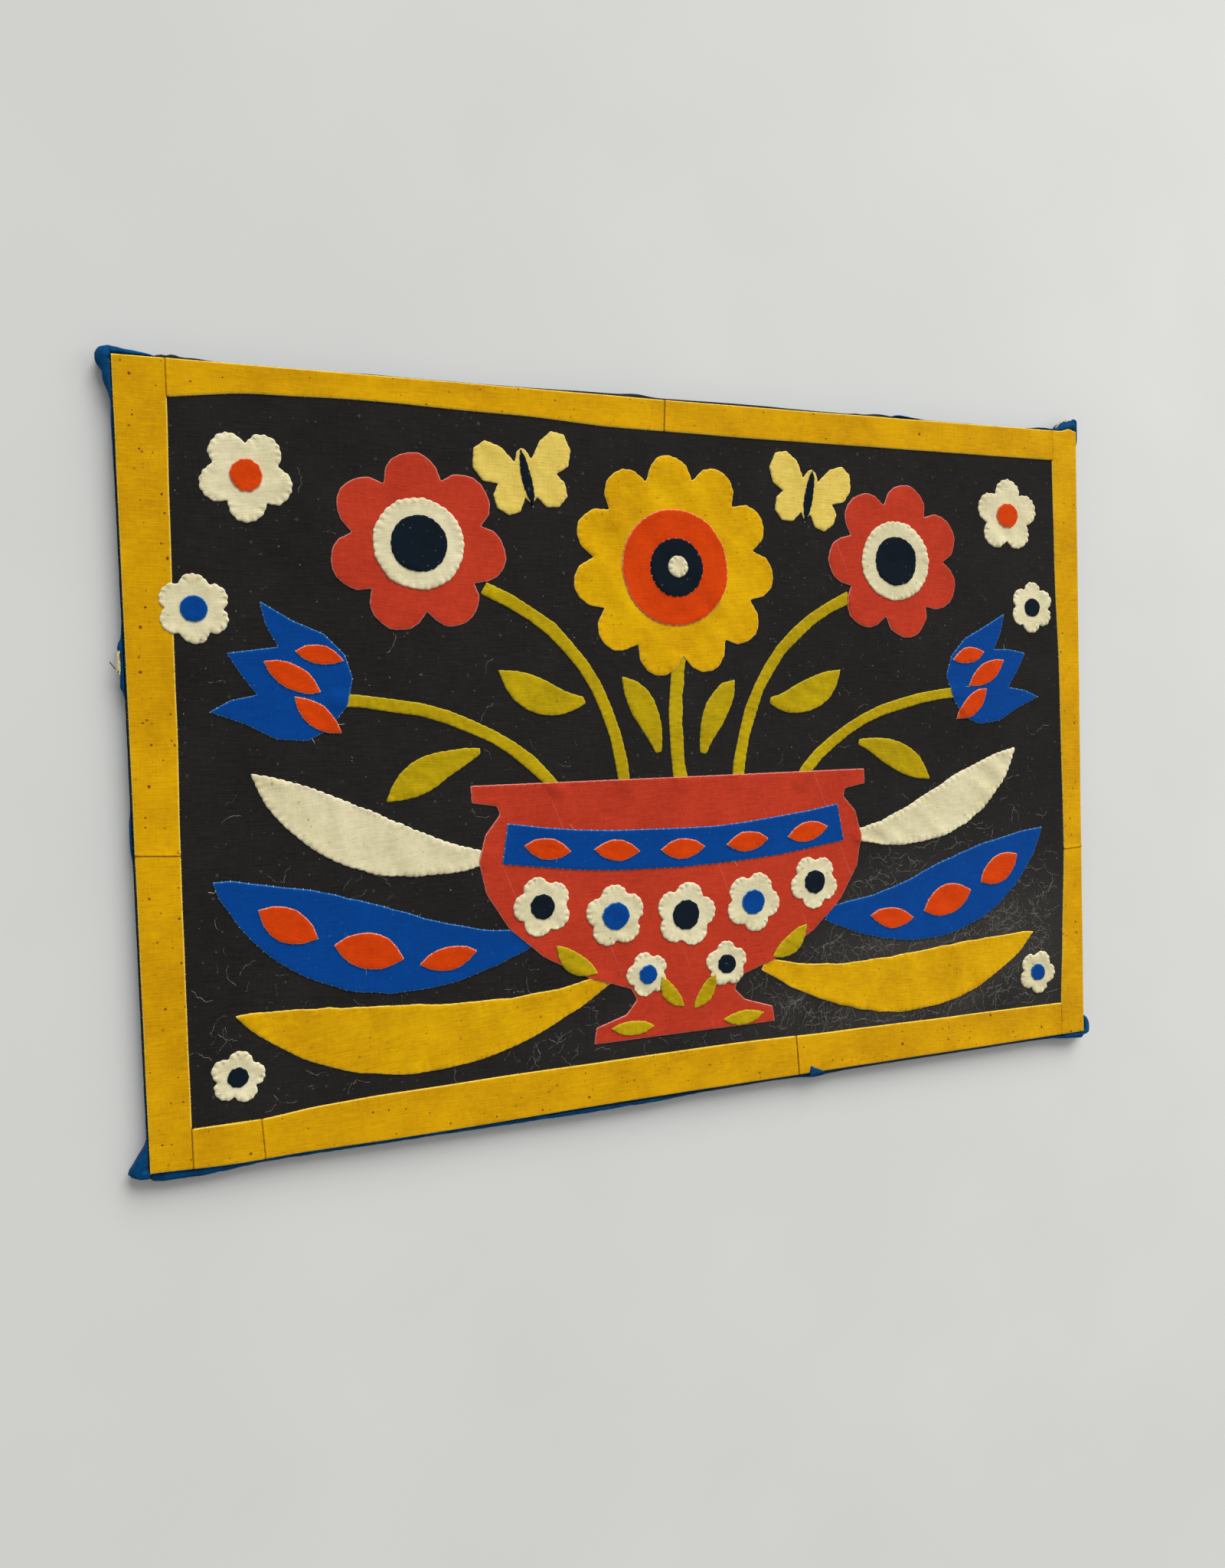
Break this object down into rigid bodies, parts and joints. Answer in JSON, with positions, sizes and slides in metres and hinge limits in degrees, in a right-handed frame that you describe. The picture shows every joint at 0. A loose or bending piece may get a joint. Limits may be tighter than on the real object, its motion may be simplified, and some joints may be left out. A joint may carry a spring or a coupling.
{
  "type": "applique textile wall hanging on a wooden stretcher frame",
  "caption": "Flat rectangular fabric panel with sewn cloth shapes of a flower bowl, bordered, edged and stretched over a wooden frame.",
  "frame": {"origin": "bottom centre of the whole panel's box, on the surface that its back lies on", "axes": "+X along the picture's width to its right, +Y up the picture, +Z out of its face"},
  "size_m": [1.226, 0.841, 0.0247],
  "materials": {
    "pine": "bare planed softwood",
    "black_cotton": "matt plain-weave black cotton",
    "border_cotton": "matt plain-weave deep yellow cotton, slightly faded",
    "edging_cotton": "matt plain-weave blue cotton, softly rolled",
    "red_cotton": "matt plain-weave red cotton",
    "blue_cotton": "matt plain-weave cobalt cotton",
    "cream_cotton": "matt plain-weave cream cotton, lightly puckered",
    "orange_cotton": "matt plain-weave orange cotton",
    "olive_cotton": "matt plain-weave olive cotton, puckered",
    "yellow_cotton": "matt plain-weave bright yellow cotton",
    "pale_cotton": "matt open-weave pale yellow cotton",
    "navy_cotton": "matt plain-weave near-black navy cotton",
    "thread": "fine cotton sewing thread"
  },
  "bodies": {
    "root": {"bar_left": "pine", "bar_right": "pine", "bar_bottom": "pine", "bar_top": "pine", "ground_cloth": "black_cotton", "border_left_1": "border_cotton", "border_left_2": "border_cotton", "border_right_1": "border_cotton", "border_right_2": "border_cotton", "border_top_1": "border_cotton", "border_top_2": "border_cotton", "border_bottom_1": "border_cotton", "border_bottom_2": "border_cotton", "border_bottom_3": "border_cotton", "edging_left": "edging_cotton", "edging_right": "edging_cotton", "edging_top": "edging_cotton", "edging_bottom": "edging_cotton", "centre_stem": "olive_cotton", "bloom_stem_left": "olive_cotton", "bloom_stem_right": "olive_cotton", "tulip_stem_left": "olive_cotton", "tulip_stem_right": "olive_cotton", "long_leaf_yellow_left": "yellow_cotton", "long_leaf_yellow_right": "yellow_cotton", "long_leaf_blue_left": "blue_cotton", "long_leaf_blue_right": "blue_cotton", "long_leaf_cream_left": "cream_cotton", "long_leaf_cream_right": "cream_cotton", "stem_leaf_left": "olive_cotton", "stem_leaf_right": "olive_cotton", "bloom_leaf_left": "olive_cotton", "bloom_leaf_right": "olive_cotton", "tulip_leaf_left": "olive_cotton", "tulip_leaf_right": "olive_cotton", "bloom_left": "red_cotton", "bloom_right": "red_cotton", "bloom_ring_left": "cream_cotton", "bloom_ring_right": "cream_cotton", "far_blossom_left": "cream_cotton", "far_blossom_right": "cream_cotton", "sunflower": "yellow_cotton", "sunflower_heart": "orange_cotton", "edge_blossom_left": "cream_cotton", "edge_blossom_right": "cream_cotton", "low_blossom_left": "cream_cotton", "low_blossom_right": "cream_cotton", "tulip_left": "blue_cotton", "tulip_right": "blue_cotton", "butterfly_left": "pale_cotton", "butterfly_right": "pale_cotton", "bowl": "red_cotton", "bowl_band": "blue_cotton", "bowl_blossom_1": "cream_cotton", "bowl_blossom_2": "cream_cotton", "bowl_blossom_3": "cream_cotton", "bowl_blossom_4": "cream_cotton", "bowl_blossom_5": "cream_cotton", "bowl_blossom_6": "cream_cotton", "bowl_blossom_7": "cream_cotton"}
  },
  "joints": []
}
